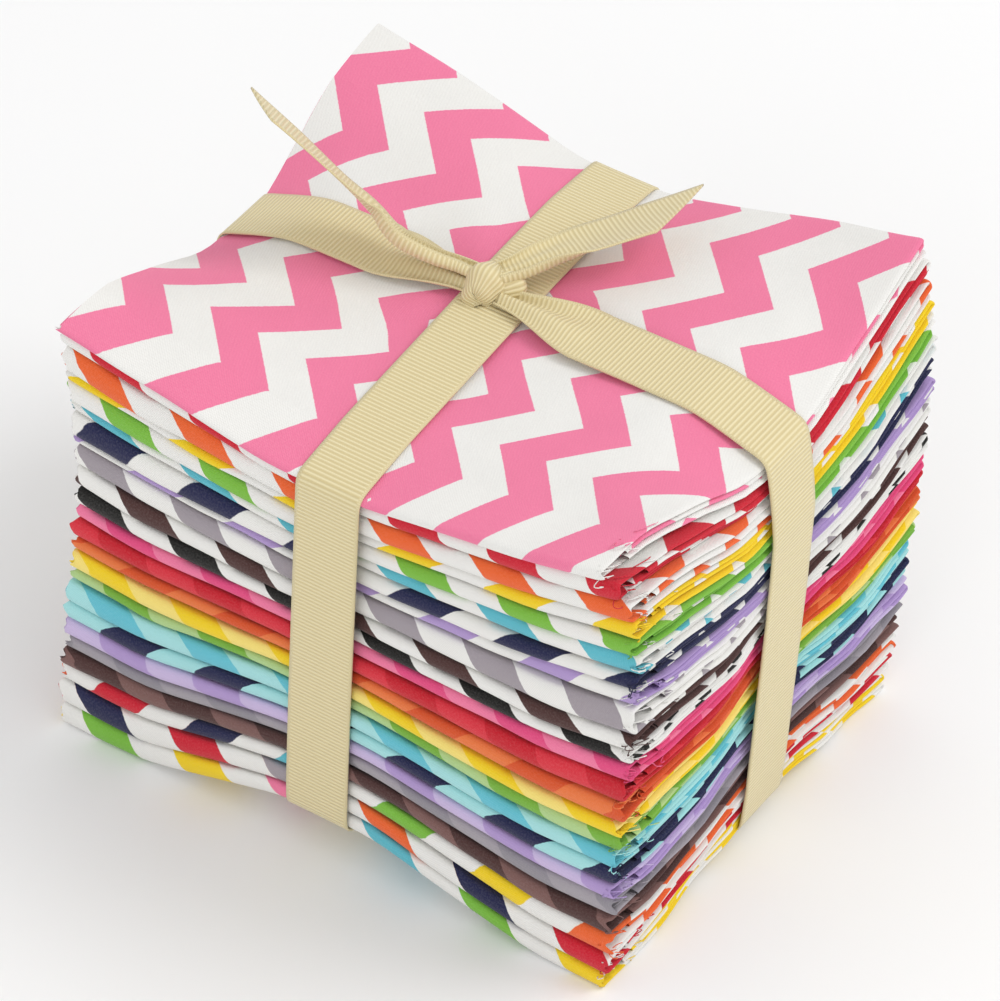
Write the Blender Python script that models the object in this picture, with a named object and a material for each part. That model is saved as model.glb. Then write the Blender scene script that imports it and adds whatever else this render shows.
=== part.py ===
"""A stack of 24 folded fat quarters of cotton, tied crosswise with one ribbon that is knotted on top.

Lengths are millimetres here, and metres in the meshes. +Z is up, and the stack stands on z = 0. X runs along the
folded front from left to right, and Y runs from the front to the back. The origin is the bottom centre of the box
round the whole object.
"""

import collections
import math
import random

import bmesh
import bpy
from mathutils import Vector

METRES = 0.001
SEED = 24

# The stack
CLEARANCE = 0.4
LEFT_X, RIGHT_X = -68.0, 72.0
FRONT_Y, BACK_Y = -58.0, 60.0
EDGE = 18.0
FLOOR_LEFT, FLOOR_RIGHT = -12.0, 11.0
FLOOR_FRONT, FLOOR_BACK = -5.5, 17.0
SIDE_PRESS = 2.2

# Heights of the top and of the underside: a row for each place from front to back. Its columns are places from left
# to right: the end, an edge's width inside it, the two sides of the long band's floor, and the right end likewise
Heights = collections.namedtuple("Heights", "left left_inner floor_left floor_right right_inner right")
TOP_ROWS = (
    Heights(120.5, 116.5, 110.3, 110.0, 118.0, 122.3),
    Heights(121.0, 118.3, 112.5, 112.5, 117.5, 122.0),
    Heights(105.0, 112.3, 112.7, 113.0, 117.0, 110.5),
    Heights(105.0, 113.0, 113.8, 114.0, 117.0, 112.0),
    Heights(121.5, 119.0, 114.3, 114.3, 120.0, 122.5),
    Heights(125.8, 121.5, 111.8, 111.8, 125.0, 130.2),
)
UNDERSIDE_ROWS = (
    Heights(0.0, 0.0, 11.5, 11.5, 0.0, 0.0),
    Heights(0.0, 0.0, 3.2, 3.2, 0.0, 0.0),
    Heights(5.2, 3.2, 3.2, 3.2, 3.2, 5.2),
    Heights(5.2, 3.2, 3.2, 3.2, 3.2, 5.2),
    Heights(0.0, 0.0, 3.2, 3.2, 0.0, 0.0),
    Heights(0.0, 0.0, 8.0, 8.0, 0.0, 0.0),
)

# Each fat quarter's section: a bottom run, an inner run and a top run, with gaps between them, as shares of its height
OUTER_RUN = 0.26
INNER_RUN = 0.34
RUN_GAP = 0.07
FRONT_FOLD = 2.6
BACK_FOLD = 1.7
WALL = 1.1
FREE_END = 1.5
FRONT_SHOULDER, FRONT_SHOULDER_HEIGHT = 0.8, 0.12
BACK_SHOULDER, BACK_SHOULDER_HEIGHT = 0.35, 0.1
FOLD_INSIDE = 1.3
FOLD_INSIDE_LOW, FOLD_INSIDE_HIGH = 0.36, 0.64
BACK_GAP_END = 0.6
STATIONS = 6

# How far the folds wander along their length, how far the layers' ends step in and out, and how far the stack twists
WAVE = 0.5
STAGGER = 0.5
STAGGER_BY_QUARTER, STAGGER_BY_LAYER = 2.1, 9.0
TURN = 0.005
TURN_RATE = 9.0

# The ribbon
RIBBON_WIDTH = 16.0
RIBBON_THICK = 1.0
LONG_TOP_FRONT_X, LONG_TOP_BACK_X, LONG_LOW_X = 2.3, -1.9, -3.0
CROSS_LEFT_Y, CROSS_TOP_RIGHT_Y, CROSS_LOW_RIGHT_Y = 8.4, 6.4, 3.2
GATHERED_WIDTH = 8.0
GATHER_LENGTH = 22.0
KNOT_REACH = 7.0
KNOT_X, KNOT_Y = -2.2, 7.6
KNOT_RADII = Vector((6.9, 5.8, 3.6))
KNOT_FOLDS = 5
KNOT_FOLD_DEPTH = 0.45
KNOT_SLANT = 2.5
KNOT_SIDES, KNOT_RINGS = 16, 9
RIBBON_COLOUR = (0.71, 0.60, 0.32)

# Outline of the stack at some levels, 0 at the top and 1 at the bottom: where its centre is, and its sides
Outline = collections.namedtuple("Outline", "level centre_x centre_y width depth")
OUTLINES = (
    Outline(0.00, 2.0, 1.2, 139.5, 118.5),
    Outline(0.12, 3.6, 2.4, 141.5, 116.8),
    Outline(0.25, 4.5, 3.0, 142.5, 116.5),
    Outline(0.40, 4.5, 3.0, 142.5, 117.0),
    Outline(0.60, 3.0, 2.0, 141.5, 119.0),
    Outline(0.80, 1.2, 0.8, 142.5, 117.0),
    Outline(0.90, -0.2, -0.2, 143.5, 114.5),
    Outline(1.00, -1.4, -1.0, 143.5, 113.0),
)

# One row for each fat quarter from the top down: its height at the folded front, how far its fold stands out,
# and how far its right end stands out
Quarter = collections.namedtuple("Quarter", "height out right colour")
QUARTERS = (
    Quarter(5.0, 0.0, 0.0, (0.95, 0.21, 0.40)),
    Quarter(4.8, -0.3, -0.4, (0.61, 0.01, 0.03)),
    Quarter(5.8, 0.4, 0.3, (0.87, 0.16, 0.03)),
    Quarter(4.6, -0.2, 0.5, (0.91, 0.68, 0.01)),
    Quarter(5.5, 0.4, -0.3, (0.22, 0.55, 0.05)),
    Quarter(4.6, -0.3, -0.5, (0.11, 0.51, 0.61)),
    Quarter(5.8, 0.4, 0.4, (0.01, 0.01, 0.07)),
    Quarter(4.5, -0.4, 0.5, (0.46, 0.33, 0.64)),
    Quarter(5.5, 0.2, -0.3, (0.38, 0.33, 0.38)),
    Quarter(5.3, 0.3, -0.6, (0.08, 0.03, 0.03)),
    Quarter(5.1, 0.0, 0.4, (0.01, 0.01, 0.01)),
    Quarter(4.8, -0.3, 0.6, (0.83, 0.10, 0.26)),
    Quarter(5.1, 0.1, 0.0, (0.61, 0.01, 0.03)),
    Quarter(4.8, -0.2, -0.6, (0.75, 0.11, 0.02)),
    Quarter(5.4, 0.3, 0.3, (0.95, 0.68, 0.01)),
    Quarter(4.7, -0.3, 0.5, (0.19, 0.46, 0.05)),
    Quarter(5.6, 0.4, -0.4, (0.14, 0.55, 0.64)),
    Quarter(5.1, 0.0, -0.2, (0.01, 0.01, 0.07)),
    Quarter(5.2, 0.1, 0.5, (0.46, 0.33, 0.64)),
    Quarter(4.8, -0.3, 0.0, (0.38, 0.33, 0.38)),
    Quarter(5.2, 0.2, -0.5, (0.08, 0.03, 0.03)),
    Quarter(5.1, -0.1, 0.4, (0.83, 0.82, 0.80)),
    Quarter(5.7, 0.4, -0.3, (0.83, 0.82, 0.80)),
    Quarter(5.6, 0.2, 0.3, (0.83, 0.82, 0.80)),
)

# The two free ends from the knot outwards: the middle of the ribbon from the knot's centre, the way its width lies,
# and the angle that its width is curled through. The slanting cut makes one edge longer than the other
TailPlace = collections.namedtuple("TailPlace", "x y z across_x across_y across_z curl")
LEFT_TAIL = (
    TailPlace(-8.0, 0.2, -1.4, 0.30, -0.95, 0.10, 3.0),
    TailPlace(-13.6, -2.2, 0.2, 0.32, -0.93, 0.15, 2.8),
    TailPlace(-20.3, -3.8, 2.2, 0.35, -0.88, 0.30, 2.4),
    TailPlace(-24.7, -3.4, 4.0, 0.38, -0.80, 0.45, 1.8),
    TailPlace(-29.5, -1.9, 6.8, 0.41, -0.68, 0.60, 1.0),
    TailPlace(-35.7, -2.1, 11.4, 0.42, -0.61, 0.67, 0.5),
    TailPlace(-47.0, -2.6, 18.7, 0.42, -0.61, 0.67, 0.2),
    TailPlace(-56.5, -3.5, 24.8, 0.42, -0.61, 0.67, 0.1),
)
RIGHT_TAIL = (
    TailPlace(4.8, 6.6, 0.4, 0.80, -0.60, 0.05, 2.6),
    TailPlace(9.0, 12.6, 1.9, 0.74, -0.60, 0.30, 1.5),
    TailPlace(15.0, 21.2, 4.2, 0.70, -0.58, 0.35, 0.6),
    TailPlace(20.4, 28.6, 6.0, 0.70, -0.58, 0.35, 0.3),
    TailPlace(25.4, 35.6, 7.4, 0.70, -0.58, 0.35, 0.1),
)
LEFT_SLANT, RIGHT_SLANT = 8.0, 16.0
TAIL_ROOT_WIDTH = 9.0
CURL_STEPS = 4


def mix(start, end, share):
    return start + (end - start) * share


def between(value, places, amounts):
    """The amount at a value, straight between the places' amounts and straight on past the two ends."""
    last = len(places) - 2
    n = max(k for k in range(last + 1) if k == 0 or value >= places[k])
    share = (value - places[n]) / (places[n + 1] - places[n])
    return mix(amounts[n], amounts[n + 1], share)


def height_in(rows, x, y):
    columns = (LEFT_X, LEFT_X + EDGE, FLOOR_LEFT, FLOOR_RIGHT, RIGHT_X - EDGE, RIGHT_X)
    places = (FRONT_Y, FRONT_Y + EDGE, FLOOR_FRONT, FLOOR_BACK, BACK_Y - EDGE, BACK_Y)
    return between(y, places, [between(x, columns, row) for row in rows])


def level_height(x, y, share):
    """The height of the surface that has this share of the stack below it."""
    return mix(height_in(UNDERSIDE_ROWS, x, y), height_in(TOP_ROWS, x, y), share)


def outline_at(level):
    for upper, lower in zip(OUTLINES, OUTLINES[1:]):
        if level <= lower.level:
            share = (level - upper.level) / (lower.level - upper.level)
            return Outline(*(mix(a, b, share) for a, b in zip(upper, lower)))
    return OUTLINES[-1]


def sides_at(level):
    """Where the stack's left, right, front and back sides are at a level."""
    outline = outline_at(level)
    half_width, half_depth = outline.width / 2, outline.depth / 2
    return (
        outline.centre_x - half_width,
        outline.centre_x + half_width,
        outline.centre_y - half_depth,
        outline.centre_y + half_depth,
    )


def section():
    """One fat quarter seen from its end: (mark, offset, share of its height) for each point of its closed outline.

    The cloth runs from its free end at the back along the bottom, round the front fold, along the top, round the
    back fold and forward again inside the front fold, where the inner fold is. The second list pairs the points
    that lie across the cloth from each other.
    """
    inner_low = OUTER_RUN + RUN_GAP
    inner_high = inner_low + INNER_RUN
    top_low = 1.0 - OUTER_RUN
    middle = 0.5
    back_middle = (inner_low + 1.0) / 2

    def forward(back_offset, front_offset, share):
        marks = (("back", back_offset), ("back_edge", 0.0), ("floor_back", 0.0))
        marks += (("floor_front", 0.0), ("front_edge", 0.0), ("front", front_offset))
        return [(mark, offset, share) for mark, offset in marks]

    def backward(back_offset, front_offset, share):
        return forward(back_offset, front_offset, share)[::-1]

    outer = forward(-FREE_END, FRONT_FOLD, 0.0)
    outer += [("front", FRONT_SHOULDER, FRONT_SHOULDER_HEIGHT), ("front", 0.0, middle)]
    outer += [("front", FRONT_SHOULDER, 1.0 - FRONT_SHOULDER_HEIGHT)]
    outer += backward(-BACK_FOLD, FRONT_FOLD, 1.0)
    outer += [("back", -BACK_SHOULDER, 1.0 - BACK_SHOULDER_HEIGHT), ("back", 0.0, back_middle)]
    outer += [("back", -BACK_SHOULDER, inner_low + BACK_SHOULDER_HEIGHT)]
    outer += forward(-BACK_FOLD, FRONT_FOLD + WALL, inner_low)
    inner = forward(-FREE_END, FRONT_FOLD, OUTER_RUN)
    inner += [("front", FOLD_INSIDE, FOLD_INSIDE_LOW), ("front", FOLD_INSIDE, FOLD_INSIDE_HIGH)]
    inner += backward(-BACK_FOLD - WALL, FRONT_FOLD, top_low)
    inner += [("back", -BACK_FOLD - BACK_GAP_END, inner_high + RUN_GAP / 2)]
    inner += forward(-BACK_FOLD - WALL, FRONT_FOLD + WALL, inner_high)
    inner += [("front", FRONT_FOLD, middle)]
    pairs = [(n, n) for n in range(6)]
    pairs += [(6, 6), (7, 6), (7, 7), (8, 7)]
    pairs += [(n + 9, n + 8) for n in range(6)]
    pairs += [(15, 13), (16, 14), (17, 15)]
    pairs += [(n + 18, n + 15) for n in range(6)]
    pairs += [(23, 21)]
    last = len(outer) + len(inner) - 1
    return outer + inner[::-1], [(outside, last - inside) for outside, inside in pairs]


def add_object(name, points, faces, colour, roughness):
    mesh = bpy.data.meshes.new(name)
    mesh.from_pydata([Vector(p) * METRES for p in points], [], faces)
    form = bmesh.new()
    form.from_mesh(mesh)
    bmesh.ops.recalc_face_normals(form, faces=form.faces)
    form.to_mesh(mesh)
    form.free()
    mesh.shade_smooth()
    mesh.set_sharp_from_angle(angle=math.radians(40))
    material = bpy.data.materials.new(name)
    material.use_nodes = True
    shader = material.node_tree.nodes["Principled BSDF"]
    shader.inputs["Base Color"].default_value = (*colour, 1.0)
    shader.inputs["Roughness"].default_value = roughness
    shader.inputs["Metallic"].default_value = 0.0
    mesh.materials.append(material)
    made = bpy.data.objects.new(name, mesh)
    bpy.context.scene.collection.objects.link(made)
    return made


def swept_faces(rows, columns, ring=False):
    """Faces of a closed outline of columns points that is carried through rows places, and its two ends.

    A ring goes on from its last place to its first and has no ends.
    """
    faces = []
    for row in range(rows if ring else rows - 1):
        for column in range(columns):
            after = (column + 1) % columns
            here, there = row * columns, (row + 1) % rows * columns
            faces.append((here + column, there + column, there + after, here + after))
    if not ring:
        faces.append(tuple(range(columns)))
        faces.append(tuple((rows - 1) * columns + column for column in range(columns)))
    return faces


def level_faces(points, rows, columns, pairs):
    """As swept_faces, with every side cut from its low x and low y corner, so that neighbours stay parallel.

    Each end is closed from pair to pair, so that it steps in and out with the cloth.
    """
    faces = []
    for low, along, far, side in swept_faces(rows, columns)[:-2]:
        if points[side][1] >= points[low][1]:
            faces += [(low, along, far), (low, far, side)]
        else:
            faces += [(low, along, side), (along, far, side)]
    for first in (0, (rows - 1) * columns):
        for (outside, inside), (next_outside, next_inside) in zip(pairs, pairs[1:]):
            corners = dict.fromkeys((outside, next_outside, next_inside, inside))
            faces.append(tuple(first + corner for corner in corners))
    return faces


def bulge(share):
    """0 at the bottom and top faces of one fat quarter, where it meets its neighbours, and 1 halfway up."""
    return 4.0 * share * (1.0 - share)


def fat_quarter(number, quarter, low_share, high_share, marks, pairs, chance):
    """One folded fat quarter. It returns its points by place along X, for the ribbon to lie on."""
    lowest, highest = number == len(QUARTERS), number == 1
    last = STATIONS - 1
    rows = []
    for place in range(STATIONS):
        front_wave, back_wave = chance.uniform(-WAVE, WAVE), chance.uniform(-WAVE, WAVE)
        row = []
        for mark, offset, share in marks:
            level = mix(low_share, high_share, share)
            stands_out = bulge(share)
            left, right, front, back = sides_at(1.0 - level)
            stagger = STAGGER * math.sin(number * STAGGER_BY_QUARTER + share * STAGGER_BY_LAYER)
            left -= stands_out * stagger
            right += stands_out * (stagger + quarter.right)
            if mark.startswith("floor"):
                left += SIDE_PRESS * math.sin(math.pi * level)
                right -= SIDE_PRESS * math.sin(math.pi * level)
            stations = (left, LEFT_X + EDGE, FLOOR_LEFT, FLOOR_RIGHT, RIGHT_X - EDGE, right)
            x, turn = stations[place], TURN * math.sin(level * TURN_RATE)
            lines = {
                "front": front + turn * x + stands_out * (front_wave - quarter.out),
                "front_edge": FRONT_Y + EDGE,
                "floor_front": FLOOR_FRONT,
                "floor_back": FLOOR_BACK,
                "back_edge": BACK_Y - EDGE,
                "back": back + turn * x + stands_out * back_wave,
            }
            y = lines[mark] + offset
            if place in (0, last):
                x -= turn * y
            low = level_height(x, y, low_share) + (0.0 if lowest else CLEARANCE / 2)
            high = level_height(x, y, high_share) - (0.0 if highest else CLEARANCE / 2)
            row.append((x, y, mix(low, high, share)))
        rows.append(row)
    points = [point for row in rows for point in row]
    faces = level_faces(points, len(rows), len(marks), pairs)
    add_object(f"fat_quarter_{number:02d}", points, faces, quarter.colour, 0.85)
    return rows


def fat_quarters():
    """All of them from the top down, and the points of each by place along X."""
    chance = random.Random(SEED)
    marks, pairs = section()
    whole = sum(quarter.height for quarter in QUARTERS)
    high_share, made = 1.0, []
    for number, quarter in enumerate(QUARTERS, 1):
        low_share = max(high_share - quarter.height / whole, 0.0)
        made.append(fat_quarter(number, quarter, low_share, high_share, marks, pairs, chance))
        high_share = low_share
    return made


def hull(points):
    """The points that a taut ribbon touches, counter-clockwise."""
    def chain(ordered):
        kept = []
        for point in ordered:
            while len(kept) > 1 and turn_of(kept[-2], kept[-1], point) <= 0:
                kept.pop()
            kept.append(point)
        return kept[:-1]

    def turn_of(a, b, c):
        return (b[0] - a[0]) * (c[1] - a[1]) - (b[1] - a[1]) * (c[0] - a[0])

    ordered = sorted(set(points))
    return chain(ordered) + chain(ordered[::-1])


def spread(points, distance):
    """The closed outline moved outwards by a distance."""
    moved = []
    for before, here, after in zip(points[-1:] + points[:-1], points, points[1:] + points[:1]):
        into, out = (Vector(here) - Vector(before)).normalized(), (Vector(after) - Vector(here)).normalized()
        side = Vector((into.y + out.y, -into.x - out.x)).normalized()
        moved.append(Vector(here) + side * distance / max(side.dot(Vector((out.y, -out.x))), 0.5))
    return moved


def strip(name, middles, sides, outs, widths, ring=False):
    """A flat ribbon along the middles: sides run across it and outs through its thickness."""
    points = []
    for middle, side, out, width in zip(middles, sides, outs, widths):
        across, through = side * width / 2, out * RIBBON_THICK / 2
        points += [middle - across - through, middle + across - through]
        points += [middle + across + through, middle - across + through]
    return add_object(name, points, swept_faces(len(middles), 4, ring), RIBBON_COLOUR, 0.6)


def from_knot(chain, knot_at):
    """The band's points on top from the knot outwards, with their widths, and how many of the chain they pass."""
    far = [abs(point.x - knot_at) for point in chain]
    passed = sum(1 for n in range(1, len(chain)) if max(far[1 : n + 1]) < KNOT_REACH + GATHER_LENGTH)
    stops = {KNOT_REACH, KNOT_REACH + GATHER_LENGTH / 2, KNOT_REACH + GATHER_LENGTH}
    stops |= {distance for distance in far[1 : passed + 1] if distance > KNOT_REACH}
    points, widths = [], []
    for stop in sorted(stops):
        n = next(k for k in range(1, len(chain)) if far[k] >= stop)
        points.append(chain[n - 1].lerp(chain[n], (stop - far[n - 1]) / (far[n] - far[n - 1])))
        widths.append(mix(GATHERED_WIDTH, RIBBON_WIDTH, (stop - KNOT_REACH) / GATHER_LENGTH))
    return points, widths, passed


def ribbon_band(name, outline, knot_at, place, side, tied):
    """A band round the stack. It returns the height of the band's upper face at the knot.

    outline holds what the band lies on in its own plane, knot_at is the knot's place across that plane, and place
    turns a point of the plane into one of the stack. A tied band runs from one side of the knot to the other and is
    gathered there. The other band is a ring that passes flat under the knot.
    """
    ring = spread(hull(outline), CLEARANCE + RIBBON_THICK / 2)
    first = next(n for n in range(len(ring)) if ring[n - 1].x > knot_at >= ring[n].x)
    ring = ring[first:] + ring[:first]
    start, end = ring[-1], ring[0]
    knot = start.lerp(end, (knot_at - start.x) / (end.x - start.x))
    path, widths = ring, [RIBBON_WIDTH] * len(ring)
    if tied:
        low_points, low_widths, low_passed = from_knot([knot] + ring, knot_at)
        high_points, high_widths, high_passed = from_knot([knot] + ring[::-1], knot_at)
        around = ring[low_passed : len(ring) - high_passed]
        path = low_points + around + high_points[::-1]
        widths = low_widths + [RIBBON_WIDTH] * len(around) + high_widths[::-1]
    before = path[:1] + path[:-1] if tied else path[-1:] + path[:-1]
    after = path[1:] + path[-1:] if tied else path[1:] + path[:1]
    middles, outs = [], []
    for point, past, coming in zip(path, before, after):
        ahead = (coming - past).normalized()
        middles.append(place(point))
        outs.append(place(point + Vector((ahead.y, -ahead.x))) - place(point))
    strip(name, middles, [side] * len(path), outs, widths, ring=not tied)
    return knot.y + RIBBON_THICK / 2


def long_band_place(point):
    """A point of the front-to-back band: it slants a little across the stack, and down its sides."""
    across = (point.x - FRONT_Y) / (BACK_Y - FRONT_Y)
    top = mix(LONG_TOP_FRONT_X, LONG_TOP_BACK_X, across)
    return Vector((mix(LONG_LOW_X, top, point.y / TOP_ROWS[0].floor_left), point.x, point.y))


def cross_band_place(point):
    """A point of the side-to-side band, likewise."""
    across = (point.x - LEFT_X) / (RIGHT_X - LEFT_X)
    right = mix(CROSS_LOW_RIGHT_Y, CROSS_TOP_RIGHT_Y, point.y / TOP_ROWS[0].floor_left)
    return Vector((point.x, mix(CROSS_LEFT_Y, right, across), point.y))


def ribbon_bands(quarters):
    """The band from front to back and, across it, the tied band. It returns the height that the knot rests on."""
    marks = [mark for mark, _, _ in section()[0]]
    beside_long = [row for rows in quarters for row in rows[2:4]]
    long_outline = [(point[1], point[2]) for row in beside_long for point in row]
    side_x, side_y = Vector((1, 0, 0)), Vector((0, 1, 0))
    height = ribbon_band("ribbon_band_long", long_outline, KNOT_Y, long_band_place, side_x, tied=False)
    beside_cross = [
        (point[0], point[2])
        for rows in quarters
        for row in rows
        for mark, point in zip(marks, row)
        if mark.startswith("floor")
    ]
    under_long = UNDERSIDE_ROWS[2].floor_left - CLEARANCE - RIBBON_THICK
    half = RIBBON_WIDTH / 2
    top_x = long_band_place(Vector((KNOT_Y, height))).x
    beside_cross += [(LONG_LOW_X - half, under_long), (LONG_LOW_X + half, under_long)]
    beside_cross += [(top_x - half, height), (top_x + half, height)]
    ribbon_band("ribbon_band_cross", beside_cross, KNOT_X, cross_band_place, side_y, tied=True)
    return height


def ribbon_knot(centre):
    """The wrapped knot: a flattened ball with slanting folds."""
    form = bmesh.new()
    bmesh.ops.create_uvsphere(form, u_segments=KNOT_SIDES, v_segments=KNOT_RINGS, radius=1.0)
    for vertex in form.verts:
        around = math.atan2(vertex.co.y, vertex.co.x)
        fold = math.sin(KNOT_FOLDS * around + KNOT_SLANT * vertex.co.z)
        flat = math.hypot(vertex.co.x, vertex.co.y)
        vertex.co = vertex.co * KNOT_RADII * (1.0 - KNOT_FOLD_DEPTH * flat * (0.5 - fold / 2) / KNOT_RADII.z)
    points = [centre + vertex.co for vertex in form.verts]
    faces = [tuple(vertex.index for vertex in face.verts) for face in form.faces]
    form.free()
    add_object("ribbon_knot", points, faces, RIBBON_COLOUR, 0.6)


def curled(side, out, width, curl):
    """Where the ribbon's two faces are across its width, from its middle, when its edges are curled outwards."""
    lower, upper = [], []
    radius = width / curl
    for n in range(CURL_STEPS + 1):
        angle = curl * (n / CURL_STEPS - 0.5)
        middle = side * radius * math.sin(angle) + out * radius * (1.0 - math.cos(angle))
        normal = (out * math.cos(angle) - side * math.sin(angle)).normalized()
        lower.append(middle - normal * RIBBON_THICK / 2)
        upper.append(middle + normal * RIBBON_THICK / 2)
    return lower + upper[::-1]


def ribbon_tail(name, places, slant, centre):
    """A free end: it opens out of the knot, uncurls and turns, and ends in a slanting cut."""
    middles = [centre + Vector((place.x, place.y, place.z)) for place in places]
    points = []
    last = len(places) - 1
    for n, (place, middle) in enumerate(zip(places, middles)):
        along = (middles[min(n + 1, last)] - middles[max(n - 1, 0)]).normalized()
        across = Vector((place.across_x, place.across_y, place.across_z))
        across = (across - along * across.dot(along)).normalized()
        out = along.cross(across)
        out = out if out.z > 0 else -out
        share = n / last
        side = across - along * slant / RIBBON_WIDTH * share * share
        width = mix(TAIL_ROOT_WIDTH, RIBBON_WIDTH, min(1.0, 2.0 * share))
        points += [middle + offset for offset in curled(side, out, width, place.curl)]
    add_object(name, points, swept_faces(len(places), 2 * CURL_STEPS + 2), RIBBON_COLOUR, 0.6)


def centre_on_origin():
    """Moves every piece so that the box round them all stands on the origin."""
    pieces = list(bpy.context.scene.collection.objects)
    corners = [Vector(corner) for piece in pieces for corner in piece.bound_box]
    middle_x = (min(c.x for c in corners) + max(c.x for c in corners)) / 2
    middle_y = (min(c.y for c in corners) + max(c.y for c in corners)) / 2
    for piece in pieces:
        piece.location = (-middle_x, -middle_y, 0.0)


def main():
    for old in list(bpy.data.objects):
        bpy.data.objects.remove(old)
    quarters = fat_quarters()
    height = ribbon_bands(quarters)
    centre = Vector((KNOT_X, KNOT_Y, height + CLEARANCE + KNOT_RADII.z))
    ribbon_knot(centre)
    ribbon_tail("ribbon_tail_left", LEFT_TAIL, LEFT_SLANT, centre)
    ribbon_tail("ribbon_tail_right", RIGHT_TAIL, RIGHT_SLANT, centre)
    centre_on_origin()


main()
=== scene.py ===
"""The fat quarter bundle as cloth: 24 folded sheets of printed cotton and one grosgrain ribbon.

Lengths are millimetres in the functions below and metres in the meshes. X, Y and Z are those of the stack, whose
outlines and heights are the ones that the solids are made with; SHIFT takes them to the row frame.
"""

import collections
import math

import bpy
import numpy as np
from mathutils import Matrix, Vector


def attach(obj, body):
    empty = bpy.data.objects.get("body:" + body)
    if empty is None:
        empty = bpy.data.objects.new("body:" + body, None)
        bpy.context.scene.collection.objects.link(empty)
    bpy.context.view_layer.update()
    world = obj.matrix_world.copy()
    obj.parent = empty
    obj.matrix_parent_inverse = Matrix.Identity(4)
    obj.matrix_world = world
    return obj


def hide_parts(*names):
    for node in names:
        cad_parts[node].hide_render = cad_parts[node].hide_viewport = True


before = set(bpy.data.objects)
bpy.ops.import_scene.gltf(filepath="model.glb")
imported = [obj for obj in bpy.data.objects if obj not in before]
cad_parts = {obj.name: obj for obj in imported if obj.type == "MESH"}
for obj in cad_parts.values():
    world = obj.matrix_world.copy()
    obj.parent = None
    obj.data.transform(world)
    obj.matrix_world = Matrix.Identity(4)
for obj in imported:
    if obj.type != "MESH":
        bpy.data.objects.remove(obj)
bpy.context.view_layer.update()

METRES = 0.001
SHIFT = (1.0855, 1.70)

# ---- the stack, as in the solids
LEFT_X, RIGHT_X = -68.0, 72.0
FRONT_Y, BACK_Y = -58.0, 60.0
COLUMNS = (-68.0, -50.0, -12.0, 11.0, 54.0, 72.0)
PLACES = (-58.0, -40.0, -5.5, 17.0, 42.0, 60.0)
TOP_ROWS = (
    (120.5, 116.5, 110.3, 110.0, 118.0, 122.3),
    (121.0, 118.3, 112.5, 112.5, 117.5, 122.0),
    (105.0, 112.3, 112.7, 113.0, 117.0, 110.5),
    (105.0, 113.0, 113.8, 114.0, 117.0, 112.0),
    (121.5, 119.0, 114.3, 114.3, 120.0, 122.5),
    (125.8, 121.5, 111.8, 111.8, 125.0, 130.2),
)
UNDERSIDE_ROWS = (
    (0.0, 0.0, 11.5, 11.5, 0.0, 0.0),
    (0.0, 0.0, 3.2, 3.2, 0.0, 0.0),
    (5.2, 3.2, 3.2, 3.2, 3.2, 5.2),
    (5.2, 3.2, 3.2, 3.2, 3.2, 5.2),
    (0.0, 0.0, 3.2, 3.2, 0.0, 0.0),
    (0.0, 0.0, 8.0, 8.0, 0.0, 0.0),
)
# level from the top, centre_x, centre_y, width, depth
OUTLINES = np.array((
    (0.00, 2.0, 1.2, 139.5, 118.5),
    (0.12, 3.6, 2.4, 141.5, 116.8),
    (0.25, 4.5, 3.0, 142.5, 116.5),
    (0.40, 4.5, 3.0, 142.5, 117.0),
    (0.60, 3.0, 2.0, 141.5, 119.0),
    (0.80, 1.2, 0.8, 142.5, 117.0),
    (0.90, -0.2, -0.2, 143.5, 114.5),
    (1.00, -1.4, -1.0, 143.5, 113.0),
))
SIDE_PRESS = 2.2
TURN = 0.005

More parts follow.
